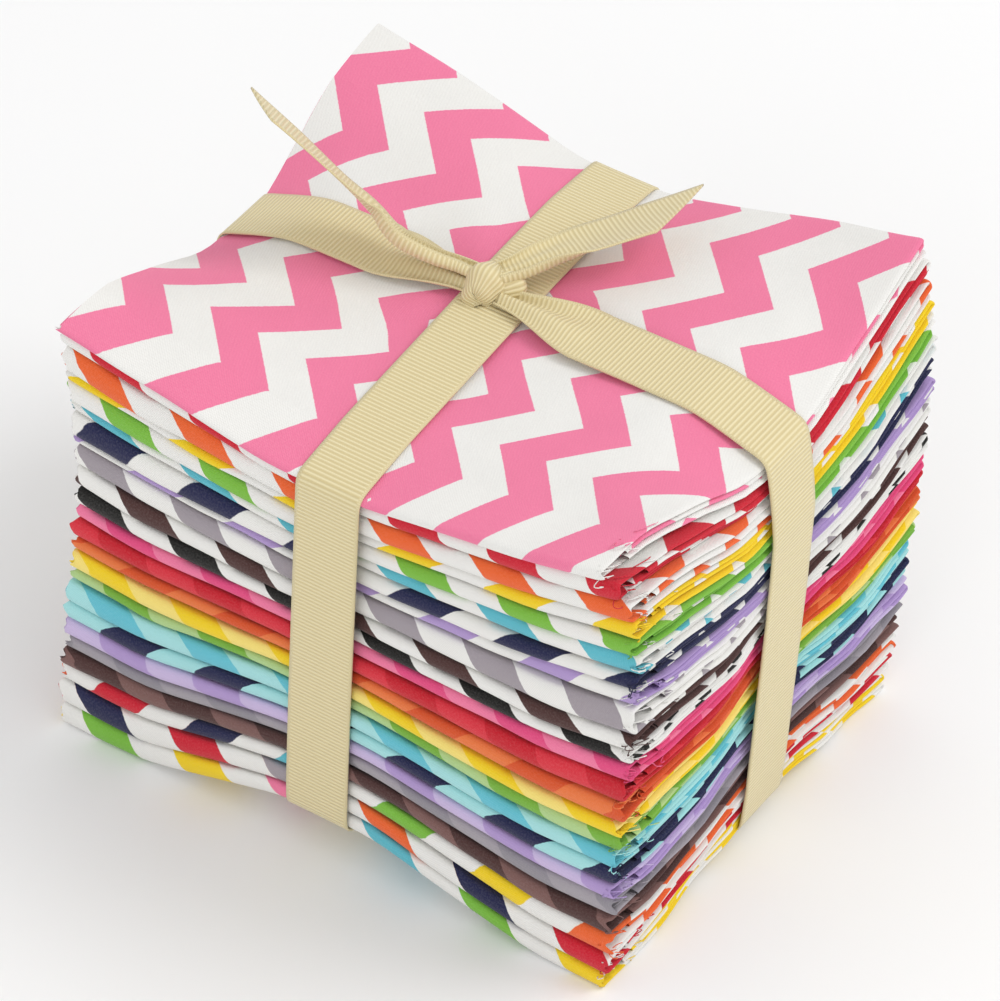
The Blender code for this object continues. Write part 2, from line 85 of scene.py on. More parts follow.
# ---- the prints: one row for each fat quarter from the top down
# inside: its height inside the stack; left, right: its height at the folded front near the left and right corners;
# out: how far the front fold stands out; start: where a coloured block starts along the front fold;
# lean: which way the block's ends lean there; colour: the printed colour, or the colours that follow each other
WHITE, PINK, RED = (0.84, 0.83, 0.80), (0.870, 0.205, 0.360), (0.620, 0.010, 0.030)
ORANGE, YELLOW, GREEN = (0.840, 0.130, 0.025), (0.900, 0.640, 0.010), (0.200, 0.500, 0.050)
AQUA, NAVY, LILAC = (0.110, 0.490, 0.590), (0.012, 0.014, 0.065), (0.440, 0.310, 0.610)
GREY, BROWN, BLACK = (0.350, 0.310, 0.340), (0.075, 0.030, 0.027), (0.011, 0.010, 0.009)
Quarter = collections.namedtuple("Quarter", "inside left right out start lean colour ground")
QUARTERS = (
    Quarter(6.6, 4, 11, 0.0, None, 1, PINK, WHITE),
    Quarter(4.8, 13, 20, -0.3, -59.5, -1, RED, WHITE),
    Quarter(5.8, 27, 18, 0.4, -62.1, -1, ORANGE, WHITE),
    Quarter(4.6, 8, 17, -0.2, -67.4, 1, YELLOW, WHITE),
    Quarter(5.5, 21, 15, 0.4, -57.0, -1, GREEN, WHITE),
    Quarter(4.6, 8, 20, -0.3, -62.1, -1, AQUA, WHITE),
    Quarter(5.8, 26, 12, 0.4, -65.0, 1, NAVY, WHITE),
    Quarter(4.5, 5, 18, -0.6, -53.0, 1, LILAC, WHITE),
    Quarter(5.5, 22, 30, 0.2, -64.9, -1, GREY, WHITE),
    Quarter(5.3, 21, 15, 0.3, -53.0, -1, BROWN, WHITE),
    Quarter(5.1, 17, 10, 0.0, -65.9, -1, BLACK, WHITE),
    Quarter(4.8, 12, 17, -0.3, -58.0, -1, (0.780, 0.070, 0.220), (0.880, 0.200, 0.360)),
    Quarter(5.1, 17, 23, 0.1, -60.0, -1, (0.580, 0.010, 0.024), (0.700, 0.030, 0.050)),
    Quarter(4.8, 11, 20, -0.2, -55.0, 1, (0.700, 0.090, 0.018), (0.820, 0.190, 0.050)),
    Quarter(5.4, 20, 13, 0.3, -63.3, -1, YELLOW, (0.930, 0.740, 0.190)),
    Quarter(4.7, 10, 17, -0.3, -58.9, -1, (0.190, 0.450, 0.050), (0.440, 0.640, 0.270)),
    Quarter(5.6, 24, 17, 0.4, -61.2, -1, (0.130, 0.530, 0.640), (0.380, 0.730, 0.740)),
    Quarter(5.1, 18, 18, 0.0, -60.1, 1, NAVY, (0.380, 0.730, 0.740)),
    Quarter(5.2, 19, 15, 0.1, -60.3, -1, LILAC, (0.590, 0.480, 0.730)),
    Quarter(4.8, 12, 20, -0.3, -56.0, -1, (0.290, 0.270, 0.300), (0.370, 0.340, 0.370)),
    Quarter(5.2, 18, 20, 0.2, -67.6, -1, BROWN, (0.200, 0.100, 0.090)),
    Quarter(5.1, 18, 25, -0.1, -63.3, 1, (RED, NAVY, AQUA, GREEN, YELLOW, ORANGE), WHITE),
    Quarter(5.7, 25, 20, 0.4, -66.1, -1, (NAVY, RED, GREY, ORANGE, NAVY, RED), WHITE),
    Quarter(5.6, 23, 15, 0.2, -65.4, -1, (GREEN, YELLOW, PINK, AQUA, GREEN, YELLOW), WHITE),
)
STRIPE, RISE, RUN = 12.40, 12.39, 12.79
PRINT_X, PRINT_Y = -84.52, -55.57
SIDE_STRIPES = {4: 13.4, 7: 13.5, 10: 13.0}
SIDE_STRIPE = 12.7
KNOT_X, KNOT_Y = -2.2, 7.6
THREADS, THREAD_STEPS, THREAD_THICK = 11, 14, 0.24


def mix(a, b, t):
    return a + (b - a) * t


def smooth(t):
    t = np.clip(t, 0.0, 1.0)
    return t * t * (3.0 - 2.0 * t)


def unit(vectors):
    return vectors / np.linalg.norm(vectors, axis=-1, keepdims=True)


def pick(value, places):
    """Which stretch of the places each value is in, and how far along it; the end stretches run on."""
    places = np.asarray(places)
    n = np.clip(np.searchsorted(places, value, side="right") - 1, 0, len(places) - 2)
    return n, (value - places[n]) / (places[n + 1] - places[n])


def grid_height(rows, x, y):
    rows = np.asarray(rows)
    n, t = pick(x, COLUMNS)
    total = 0.0
    for offset, weight in ((-5.0, 0.25), (0.0, 0.5), (5.0, 0.25)):
        m, s = pick(np.clip(y + offset, FRONT_Y - 4, BACK_Y + 4), PLACES)
        for sideways, share in ((-5.0, 0.25), (0.0, 0.5), (5.0, 0.25)):
            n, t = pick(np.clip(x + sideways, LEFT_X - 8, RIGHT_X + 8), COLUMNS)
            low = mix(rows[m, n], rows[m, n + 1], t)
            high = mix(rows[m + 1, n], rows[m + 1, n + 1], t)
            total = total + weight * share * mix(low, high, s)
    return total


def level_height(x, y, level):
    return mix(grid_height(UNDERSIDE_ROWS, x, y), grid_height(TOP_ROWS, x, y), level)


def sides_at(level):
    """Left, right, front and back of the stack, level 0 at its bottom."""
    down = 1.0 - level
    centre_x, centre_y, width, depth = (np.interp(down, OUTLINES[:, 0], OUTLINES[:, k]) for k in (1, 2, 3, 4))
    return centre_x - width / 2, centre_x + width / 2, centre_y - depth / 2, centre_y + depth / 2


def cumulative(amounts):
    """The share of the stack above each row, from 0 to 1, and the end."""
    amounts = np.asarray(amounts, float)
    return np.concatenate([[0.0], np.cumsum(amounts)]) / amounts.sum()


INSIDE = cumulative([q.inside for q in QUARTERS])
AT_LEFT = cumulative([q.left for q in QUARTERS])
AT_RIGHT = cumulative([q.right for q in QUARTERS])
FOLD_ZONE = 16.0


def level_of(number, share, x, y, front):
    """The level (0 bottom, 1 top) of a share of one fat quarter's height, which at the front follows the folds."""
    across = np.clip((x - (LEFT_X + 14)) / (RIGHT_X - LEFT_X - 14), 0.0, 1.0)
    bounds = []
    for n in (number - 1, number):
        at_front = mix(AT_LEFT[n], AT_RIGHT[n], across)
        near = 1.0 - smooth((y - front) / FOLD_ZONE)
        bounds.append(mix(INSIDE[n], at_front, near * 0.85))
    top, bottom = 1.0 - bounds[0], 1.0 - bounds[1]
    return mix(bottom, top, share)


# ---- one folded fat quarter: two paths, across (u) and along (v), with the fold's arcs between their runs
PLY = 1.0 / 16.0
FOLD_PLUMP = 3.0
CLOTH = []


def across_path():
    """Samples along u: (place 0 left to 1 right, added reach, offset in plies)."""
    samples = []
    inner = np.linspace(0.0, 1.0, 40)
    dense = np.concatenate([[0.0, 0.006, 0.016], inner[1:-1], [0.984, 0.994, 1.0]])

    def arc(centre, radius, begin, end, steps, side, reach):
        for angle in np.linspace(begin, end, steps + 2)[1:-1]:
            samples.append((side, reach + math.cos(angle) * radius * FOLD_PLUMP, centre + math.sin(angle) * radius))

    for place in dense:
        samples.append((place, 0.0, 1.5))
    arc(0.0, 1.5, math.pi / 2, -math.pi / 2, 7, 1.0, 0.0)
    for place in inner[::-2]:
        samples.append((place, 0.0, -1.5))
    arc(-1.0, 0.5, -math.pi / 2, -3 * math.pi / 2, 3, 0.0, 0.0)
    for place in inner[::2]:
        samples.append((place, -4.0 * (place > 0.9), -0.5))
    arc(0.0, 0.5, -math.pi / 2, math.pi / 2, 3, 1.0, -4.0)
    for place in inner[::-2]:
        samples.append((place, -4.0 * (place > 0.9), 0.5))
    return np.array(samples)


def along_path(raw_low, raw_high):
    """Samples along v: (kind of place, offset from it, slab height, normal y, normal h). Slab heights run 0 to 4."""
    samples = []
    runs = np.linspace(0.0, 1.0, 34)
    fine = np.concatenate([[0.0, 0.012, 0.03], runs[1:-1], [0.97, 0.988, 1.0]])

    def arc(side, height, radius, begin, end, steps, flat):
        for angle in np.linspace(begin, end, steps + 2)[1:-1]:
            normal = (math.cos(angle), math.sin(angle))
            samples.append((side, flat * normal[0] * radius, height + normal[1] * radius, *normal))

    for place in runs[::2]:
        samples.append((mix(raw_low, 1.0, place), 0.0, 1.5, 0.0, 1.0))
    arc(1.0, 1.0, 0.5, math.pi / 2, -math.pi / 2, 4, 1.0)
    for place in fine[::-1]:
        samples.append((place, 0.0, 0.5, 0.0, -1.0))
    arc(0.0, 2.0, 1.5, -math.pi / 2, -3 * math.pi / 2, 11, 1.0)
    for place in fine:
        samples.append((place, 0.0, 3.5, 0.0, 1.0))
    arc(1.0, 3.0, 0.5, math.pi / 2, -math.pi / 2, 4, 1.0)
    for place in runs[::-2]:
        samples.append((mix(raw_high, 1.0, place), 0.0, 2.5, 0.0, -1.0))
    return np.array(samples)


def grid_object(name, points, uv, material, tube=False):
    """points[row][column] as a mesh of squares, with its cloth coordinates in the UV map cloth.

    In a tube the last column lies on the first, and the two are joined.
    """
    rows, columns = points.shape[:2]
    index = np.arange(rows * columns).reshape(rows, columns)
    corners = np.stack([index[:-1, :-1], index[:-1, 1:], index[1:, 1:], index[1:, :-1]], -1).reshape(-1, 4)
    quads = corners
    if tube:
        points = points[:, :-1]
        index = np.arange(rows * (columns - 1)).reshape(rows, columns - 1)
        index = np.concatenate([index, index[:, :1]], axis=1)
        quads = np.stack([index[:-1, :-1], index[:-1, 1:], index[1:, 1:], index[1:, :-1]], -1).reshape(-1, 4)
        half = (columns - 1) // 2
        over = np.arange(half - 1)
        cap = np.stack([over, over + 1, 2 * half - 2 - over, 2 * half - 1 - over], -1)
        whole = np.arange(rows * columns).reshape(rows, columns)
        quads = np.concatenate([quads, index[0][cap[:, ::-1]], index[-1][cap]])
        corners = np.concatenate([corners, whole[0][cap[:, ::-1]], whole[-1][cap]])
    return quad_object(name, points, quads, uv, corners, material)


def quad_object(name, points, quads, uv, corners, material):
    """A mesh of four-sided faces; corners says which cloth coordinates each face's corners take."""
    mesh = bpy.data.meshes.new(name)
    flat = points.reshape(-1, 3) * METRES
    flat[:, 0] -= SHIFT[0] * METRES
    flat[:, 1] -= SHIFT[1] * METRES
    mesh.vertices.add(len(flat))
    mesh.vertices.foreach_set("co", flat.ravel())
    mesh.loops.add(quads.size)
    mesh.loops.foreach_set("vertex_index", quads.ravel())
    mesh.polygons.add(len(quads))
    mesh.polygons.foreach_set("loop_start", np.arange(0, quads.size, 4))
    mesh.polygons.foreach_set("loop_total", np.full(len(quads), 4))
    mesh.update(calc_edges=True)
    layer = mesh.uv_layers.new(name="cloth")
    layer.uv.foreach_set("vector", uv.reshape(-1, 2)[corners.ravel()].astype(np.float32).ravel())
    mesh.shade_smooth()
    mesh.materials.append(material)
    made = bpy.data.objects.new(name, mesh)
    bpy.context.scene.collection.objects.link(made)
    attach(made, "root")
    return made


def waves(seed, count, longest, shortest):
    """A repeatable wandering line: the sum of a few sines."""
    chance = np.random.default_rng(seed)
    lengths = np.exp(chance.uniform(math.log(shortest), math.log(longest), count))
    turns, shares = chance.uniform(0, 2 * math.pi, count), lengths / lengths.sum()

    def at(value):
        return sum(s * np.sin(2 * math.pi * value / w + t) for w, t, s in zip(lengths, turns, shares))

    return at


def creases(x, y):
    """The soft creases that run out from under the knot, -1 to 1."""
    far, angle = np.hypot(x - KNOT_X, y - KNOT_Y), np.arctan2(y - KNOT_Y, x - KNOT_X)
    fade = smooth((far - 4.0) / 10.0) * (1.0 - smooth((far - 14.0) / 34.0))
    return fade * (0.6 * np.cos(5.0 * angle + 0.06 * far + 0.5) + 0.4 * np.cos(8.0 * angle - 0.09 * far + 2.0))


def frayed_threads(number, points, uv, v_place, u_place, material):
    """Loose threads of the raw edges in the mouth of the fat fold at the right, as thin closed tubes in one mesh."""
    chance = np.random.default_rng(900 + number)
    fold_rows = np.flatnonzero(v_place < 0.13)
    ends = np.flatnonzero(u_place == 1.0)[:6]
    path = np.linspace(0.0, 1.0, THREAD_STEPS)
    centres, places = [], []
    for _ in range(THREADS):
        row, column = chance.choice(fold_rows), chance.choice(ends)
        start = points[row, column] + (-1.2, 0.4, 0.0)
        way = np.array((chance.uniform(0.6, 2.6), chance.uniform(-2.0, 5.0), chance.uniform(-1.8, 0.9)))
        loop, turn = chance.uniform(0.5, 1.6), chance.uniform(0.0, 2 * math.pi)
        turns = chance.uniform(0.5, 1.6)
        swing = 2 * math.pi * turns * path + turn
        bend = np.stack([0.45 * np.cos(swing), np.sin(swing), 0.6 * np.cos(swing + 1.0)], -1) * loop
        centres.append(start + way * np.sin(path * math.pi * 0.62)[:, None] + bend - bend[0])
        places.append(uv[row, column] + np.stack([0 * path, 5.0 * path], -1))
    centres, places = np.array(centres), np.array(places)
    centres[..., 2] = np.maximum(centres[..., 2], THREAD_THICK)
    ahead = unit(np.gradient(centres, axis=1))
    side = unit(np.cross(ahead, (0.31, 0.22, 0.92)))
    up = np.cross(ahead, side)
    ring = THREAD_THICK / 2 * np.array([(1, 0), (0, 1), (-1, 0), (0, -1)])
    rings = centres[:, :, None] + side[:, :, None] * ring[:, :1] + up[:, :, None] * ring[:, 1:]
    index = np.arange(rings.size // 3).reshape(rings.shape[:3])
    turned = np.roll(index, -1, axis=2)
    walls = np.stack([index[:, :-1], turned[:, :-1], turned[:, 1:], index[:, 1:]], -1).reshape(-1, 4)
    quads = np.concatenate([walls, index[:, 0, ::-1], index[:, -1]])
    cloth = np.broadcast_to(places[:, :, None], (*rings.shape[:3], 2))
    made = quad_object(f"cotton_threads_{number:02d}", rings, quads, cloth, quads, material)
    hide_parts(f"fat_quarter_{number:02d}")


def fat_quarter(number, quarter, material):
    chance = np.random.default_rng(100 + number)
    across = across_path()
    raw_low, raw_high = chance.uniform(0.035, 0.08, 2)
    along = along_path(raw_low, raw_high)
    u_place, u_reach, ply = across.T
    v_place, v_reach, slab, normal_y, normal_h = along.T
    rows, columns = len(along), len(across)
    at_ends = smooth((np.abs(u_place - 0.5) - 0.46) / 0.04)[None, :]
    share = (slab[:, None] + normal_h[:, None] * ply[None, :] * (1.0 + 0.08 * at_ends) / 4.0) / 4.0
    uneven = waves(600 + number, 4, 80.0, 20.0)
    share = 0.03 + 0.94 * share
    height = 5.0
    middle = 1.0 - (INSIDE[number - 1] + INSIDE[number]) / 2
    left, right, front, back = sides_at(middle + 0 * share)
    # where along X
    stagger = waves(200 + number, 3, 3.4, 1.7)
    ragged = waves(300 + number, 5, 60.0, 14.0)
    end_out = 1.0 * stagger(slab)[:, None]
    ply_mm = height * PLY
    x = mix(left, right, u_place[None, :]) + u_reach[None, :] * ply_mm
    at_ends = smooth((np.abs(u_place - 0.5) - 0.42) / 0.08)[None, :]
    y0 = mix(front, back, v_place[:, None])
    press = SIDE_PRESS * math.sin(math.pi * middle)
    pressed = press * (1 - smooth((np.abs(y0 - 6.0) - 8.0) / 22.0))
    side = np.sign(u_place - 0.5)[None, :]
    x = x + at_ends * side * (end_out + 0.7 * ragged(y0 + 17 * np.sign(u_place - 0.5)[None, :]) - pressed)
    if number < 3:
        eased = (4.2, 1.6)[number - 1] * smooth((u_place - 0.6) / 0.4)[None, :]
        x = x - eased * (1.0 - smooth((y0 - front - 4.0) / 60.0))
    # where along Y
    fold_wave = waves(400 + number, 5, 90.0, 18.0)
    back_wave = waves(500 + number, 5, 90.0, 18.0)
    squash = np.where(v_place < 0.5, 0.62, 1.0)[:, None]
    reach = (v_reach[:, None] * height / 4.0 + normal_y[:, None] * ply[None, :] * ply_mm) * squash
    near_front = (1 - smooth(v_place / 0.12))[:, None]
    near_back = smooth((v_place - 0.88) / 0.12)[:, None]
    out = quarter.out + 0.5 * fold_wave(x)
    y = y0 + reach + near_front * (1.6 - out) + near_back * (0.9 * back_wave(x) - 0.6)
    y = y + TURN * math.sin(middle * 9.0) * x
    share = share + 0.16 * share * (1.0 - share) * uneven(y + x)
    level = level_of(number, share, x, y, front)
    z = level_height(x, y, level)
    if quarter.start is None:
        # the layers under the uppermost one lie a little lower inside, clear of its creases
        inside = (1.0 - at_ends) * (smooth(v_place / 0.1) * (1.0 - smooth((v_place - 0.9) / 0.1)))[:, None]
        z = z + share * (0.6 * creases(x, y) - 0.8 * inside * (1.0 - smooth((share - 0.90) / 0.025)))
    points = np.stack([x, y, z], -1)
    CLOTH.append(points.reshape(-1, 3))
    # cloth coordinates: u runs on past the right end, v past the front and back
    mid_left, mid_right, mid_front, mid_back = (float(side[0, 0]) for side in sides_at(np.array([[middle]])))
    nominal_x = mix(mid_left, mid_right, u_place) + u_reach * ply_mm
    u_step = np.hypot(np.diff(nominal_x), np.diff(ply * ply_mm))
    u = np.concatenate([[0.0], np.cumsum(u_step)]) + mid_left
    nominal_y = mix(mid_front, mid_back, v_place) + v_reach * height / 4.0
    v_step = np.hypot(np.diff(nominal_y), np.diff(slab * height / 4.0))
    v = np.concatenate([[0.0], np.cumsum(v_step)])
    first_top = int(np.argmax((slab == 3.5)))
    v = v - v[first_top] + mid_front
    if quarter.start is None:
        v = np.where(v < -44.0, -44.0 + (v + 44.0) * 0.5, v)
    uv = np.stack(np.broadcast_arrays(u[None, :], v[:, None]), -1)
    if quarter.start is None:
        uv = uv + np.stack([0.9 * creases(x + 3.0, y), 0.9 * creases(x, y - 4.0)], -1)
    made = grid_object(f"cotton_sheet_{number:02d}", points, uv, material)
    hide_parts(f"fat_quarter_{number:02d}")
    frayed_threads(number, points, uv, v_place, u_place, material)
    return made


# ---- materials
class Nodes:
    """A small helper that adds nodes and links to one material."""

    def __init__(self, name):
        self.material = bpy.data.materials.new(name)
        self.material.use_nodes = True
        self.tree = self.material.node_tree
        self.shader = self.tree.nodes["Principled BSDF"]

    def add(self, kind, **values):
        node = self.tree.nodes.new(kind)
        for key, value in values.items():
            setattr(node, key, value)
        return node

    def put(self, socket, value):
        if isinstance(value, (int, float)):
            socket.default_value = value
        elif isinstance(value, tuple):
            socket.default_value = (*value, 1.0) if len(value) == 3 and len(socket.default_value) == 4 else value
        else:
            self.tree.links.new(value, socket)

    def math(self, operation, *values, clamp=False):
        node = self.add("ShaderNodeMath", operation=operation, use_clamp=clamp)
        for socket, value in zip(node.inputs, values):
            self.put(socket, value)
        return node.outputs[0]

    def colour(self, share, first, second, blend="MIX"):
        node = self.add("ShaderNodeMix", data_type="RGBA", blend_type=blend)
        self.put(node.inputs[0], share)
        self.put(node.inputs[6], first)
        self.put(node.inputs[7], second)
        return node.outputs[2]

    def noise(self, vector, scale, detail=2.0, roughness=0.5):
        node = self.add("ShaderNodeTexNoise")
        self.put(node.inputs["Vector"], vector)
        self.put(node.inputs["Scale"], scale)
        self.put(node.inputs["Detail"], detail)
        self.put(node.inputs["Roughness"], roughness)
        return node.outputs[0]

    def cloth_places(self):
        """U and V in millimetres of cloth, and the vector that holds them."""
        vector = self.add("ShaderNodeUVMap", uv_map="cloth").outputs[0]
        split = self.add("ShaderNodeSeparateXYZ")
        self.put(split.inputs[0], vector)
        return vector, split.outputs[0], split.outputs[1]

    def finish(self, colour, height, strength, distance, roughness, sheen=0.0, sheen_tint=(1.0, 1.0, 1.0)):
        bump = self.add("ShaderNodeBump")
        self.put(bump.inputs["Strength"], strength)
        self.put(bump.inputs["Distance"], distance)
        self.put(bump.inputs["Height"], height)
        self.put(self.shader.inputs["Normal"], bump.outputs[0])
        self.put(self.shader.inputs["Base Color"], colour)
        self.put(self.shader.inputs["Roughness"], roughness)
        self.put(self.shader.inputs["Specular IOR Level"], 0.25)
        self.put(self.shader.inputs["Sheen Weight"], sheen)
        self.put(self.shader.inputs["Sheen Roughness"], 0.5)
        self.put(self.shader.inputs["Sheen Tint"], sheen_tint)
        return self.material


def cotton(number, quarter):
    n = Nodes(f"printed cotton {number:02d}")
    vector, u, v = n.cloth_places()
    # how far across the zigzag's stripes
    stripe = STRIPE if quarter.start is None else SIDE_STRIPES.get(number, SIDE_STRIPE)
    if quarter.start is None:
        start_u, start_v, phase, skew = PRINT_X, PRINT_Y, 0.0, 0.0264
    else:
        turns = (72.5 - quarter.start) / stripe
        phase = ((0.5 - turns) if quarter.lean > 0 else (turns - 0.5)) % 1.0
        phase = min(max(phase, 0.36), 0.64)
        fold_v = sides_at(1.0 - (INSIDE[number - 1] + INSIDE[number]) / 2)[2] - 3.0
        start_u, start_v, skew = quarter.start, fold_v - phase * RUN, 0.0
    along = n.math("DIVIDE", n.math("SUBTRACT", v, start_v), RUN)
    zigzag = n.math("MULTIPLY", n.math("PINGPONG", along, 1.0), RISE * quarter.lean)
    across = n.math("SUBTRACT", n.math("SUBTRACT", u, start_u - phase * RISE * quarter.lean), zigzag)
    if skew:
        across = n.math("SUBTRACT", across, n.math("MULTIPLY", n.math("SUBTRACT", v, start_v + 4 * RUN), skew))
    rough_edge = n.math("MULTIPLY", n.math("SUBTRACT", n.noise(vector, 1.6, 1.0), 0.5), 0.35)
    index = n.math("DIVIDE", n.math("ADD", across, rough_edge), stripe)
    if quarter.start is None:
        index = n.math("ADD", index, -1.0)
    else:
        # away from the fold the print is shifted so that its blocks at the right are of even lengths
        spare = ((turns + phase * quarter.lean) % 1.0) - 0.5
        away = n.math("MULTIPLY", n.math("ABSOLUTE", n.math("SUBTRACT", v, fold_v)), 1 / 9.0, clamp=True)
        index = n.math("ADD", index, n.math("MULTIPLY", away, -spare))
    wave = n.math("SINE", n.math("MULTIPLY", index, math.pi))
    printed = n.math("MULTIPLY_ADD", wave, 16.0, 0.5, clamp=True)
    ink = quarter.colour
    if isinstance(ink[0], tuple):
        many_colours = ink
        ramp = n.add("ShaderNodeValToRGB")
        ramp.color_ramp.interpolation = "CONSTANT"
        pair = n.math("FLOOR", n.math("MULTIPLY", index, 0.5))
        share = n.math("MULTIPLY", n.math("ADD", pair, 0.5 + 4 * len(many_colours)), 1 / len(many_colours))
        n.put(ramp.inputs[0], n.math("FRACT", share))
        elements = ramp.color_ramp.elements
        while len(elements) < len(many_colours):
            elements.new(0.5)
        for k, many in enumerate(many_colours):
            elements[k].position = k / len(many_colours)
            elements[k].color = (*many, 1.0)
        ink = ramp.outputs[0]
    colour = n.colour(printed, quarter.ground, ink)
    # the weave: threads 0.45 mm apart each way, and slubs
    warp = n.math("SINE", n.math("MULTIPLY", u, 2 * math.pi / 0.42))
    weft = n.math("SINE", n.math("MULTIPLY", v, 2 * math.pi / 0.46))
    threads = n.math("MULTIPLY", warp, weft)
    slub = n.noise(vector, 2.4, 2.0, 0.5)
    cloudy = n.noise(vector, 0.08, 2.0, 0.5)
    shade = n.math("ADD", n.math("MULTIPLY_ADD", threads, 0.09, 0.91), n.math("MULTIPLY", slub, 0.10))
    shade = n.math("ADD", shade, n.math("MULTIPLY_ADD", cloudy, 0.08, -0.04))
    grey = n.add("ShaderNodeCombineColor")
    for socket in grey.inputs:
        n.put(socket, shade)
    bare = n.math("MULTIPLY", n.math("SUBTRACT", slub, 0.42, clamp=True), 0.14)
    colour = n.colour(bare, colour, (0.80, 0.79, 0.76))
    shaded = n.colour(1.0, colour, grey.outputs[0], "MULTIPLY")
    height = n.math("ADD", n.math("MULTIPLY", threads, 0.5), n.math("MULTIPLY", slub, 0.7))
    return n.finish(shaded, height, 0.55, 0.00012, 0.82, sheen=0.12)


def grosgrain():
    n = Nodes("grosgrain ribbon")
    vector, u, v = n.cloth_places()
    ribs = n.math("SINE", n.math("MULTIPLY", v, 2 * math.pi / 1.05))
    edge = n.math("SUBTRACT", 8.0, n.math("ABSOLUTE", u))
    selvage = n.math("LESS_THAN", edge, 0.7)
    fine = n.math("SINE", n.math("MULTIPLY", v, 2 * math.pi / 0.5))
    inner_ribs = n.math("MULTIPLY", ribs, n.math("SUBTRACT", 1.0, selvage))
    profile = n.math("ADD", inner_ribs, n.math("MULTIPLY", fine, n.math("MULTIPLY", selvage, 0.4)))
    # painted shade and painted highlight: the colour is darker in the grooves between the ribs and lighter on their
    # tops, following the rib relief
    painted_rib_shading = n.math("MULTIPLY_ADD", profile, 0.5, 0.5, clamp=True)
    colour = n.colour(painted_rib_shading, (0.63, 0.52, 0.27), (0.79, 0.695, 0.43))
    return n.finish(colour, profile, 0.7, 0.00012, 0.5, sheen=0.2)


# ---- the ribbon
RIBBON_WIDTH, RIBBON_THICK = 16.0, 0.45
BAND_CLEARANCE = 0.35
LONG_TOP_FRONT_X, LONG_TOP_BACK_X, LONG_LOW_X = 2.3, -1.9, -3.0
CROSS_LEFT_Y, CROSS_TOP_RIGHT_Y, CROSS_LOW_RIGHT_Y = 8.4, 6.4, 3.2
ACROSS = np.linspace(-0.5, 0.5, 15)
KNOT_SHIFT, KNOT_SCALE = np.array((-0.6, -0.4, -0.9)), 0.90
# x, y, z from the knot's centre, the way that the width lies, and the angle that it is curled through
LEFT_TAIL = np.array((
    (-3.0, 0.8, -1.6, 0.31, -0.88, 0.36, 3.2),
    (-8.0, 0.2, -1.2, 0.32, -0.82, 0.47, 3.0),
    (-13.6, -2.2, 0.2, 0.33, -0.78, 0.53, 2.7),
    (-20.3, -3.8, 2.2, 0.35, -0.76, 0.55, 2.2),
    (-24.7, -3.4, 4.0, 0.38, -0.73, 0.57, 1.7),
    (-29.5, -1.9, 6.8, 0.41, -0.68, 0.60, 1.0),
    (-35.7, -2.1, 11.4, 0.40, -0.68, 0.61, 0.4),
    (-47.0, -2.6, 18.7, 0.38, -0.72, 0.60, 0.2),
    (-56.5, -3.5, 24.8, 0.37, -0.74, 0.59, 0.1),
))
RIGHT_TAIL = np.array((
    (1.0, 2.0, -0.6, 0.80, -0.60, 0.05, 2.6),
    (4.8, 6.6, 0.4, 0.80, -0.60, 0.05, 2.4),
    (9.0, 12.6, 1.9, 0.74, -0.60, 0.30, 1.5),
    (15.0, 21.2, 4.2, 0.70, -0.58, 0.35, 0.6),
    (20.4, 28.6, 6.0, 0.70, -0.58, 0.35, 0.3),
    (25.4, 35.6, 7.4, 0.70, -0.58, 0.35, 0.1),
))
# the wrap of the knot and the strand beside it, seen from the front right: right, up and towards the viewer
WRAP = np.array((
    (-5.0, -0.6, -3.6, 0.38, 0.92, 0.05),
    (-4.9, 0.9, -0.6, 0.38, 0.92, 0.05),
    (-3.2, 1.9, 2.2, 0.42, 0.90, 0.00),
    (-0.4, 1.0, 3.7, 0.52, 0.85, -0.05),
    (2.0, -0.8, 3.4, 0.66, 0.74, -0.10),
    (3.6, -2.8, 1.4, 0.72, 0.68, -0.15),
    (3.9, -4.4, -1.8, 0.72, 0.68, -0.15),
))
STRAND = np.array((
    (3.0, 5.0, -2.2, -0.90, 0.30, -0.10),
    (3.6, 3.6, 0.8, -0.90, 0.25, -0.10),
    (5.0, 1.2, 2.2, -0.92, 0.05, -0.15),
    (6.0, -1.6, 2.0, -0.90, -0.15, -0.20),
    (6.4, -4.0, 0.6, -0.80, -0.40, -0.20),
    (6.2, -5.6, -1.8, -0.70, -0.60, -0.20),
))
VIEW_AZIMUTH, VIEW_ELEVATION = math.radians(34.39), math.radians(42.38)
VIEW_RIGHT = np.array((math.cos(VIEW_AZIMUTH), math.sin(VIEW_AZIMUTH), 0.0))
VIEW_BACK = np.array((
    math.sin(VIEW_AZIMUTH) * math.cos(VIEW_ELEVATION),
    -math.cos(VIEW_AZIMUTH) * math.cos(VIEW_ELEVATION),
    math.sin(VIEW_ELEVATION),
))
VIEW = np.stack([VIEW_RIGHT, np.cross(VIEW_BACK, VIEW_RIGHT), VIEW_BACK])


def curve_through(rows, step):
    """Places about a step apart on a smooth curve through the rows' points, with the rows' other columns."""
    padded = np.concatenate([2 * rows[:1] - rows[1:2], rows, 2 * rows[-1:] - rows[-2:-1]])
    out = []
    for a, b, c, d in zip(padded, padded[1:], padded[2:], padded[3:]):
        count = max(2, round(float(np.linalg.norm(c[:3] - b[:3])) / step))
        for t in np.arange(count) / count:
            out.append(0.5 * (2 * b + (c - a) * t + (2 * a - 5 * b + 4 * c - d) * t**2 + (3 * b - a - 3 * c + d) * t**3))
    out.append(rows[-1])
    return np.array(out)


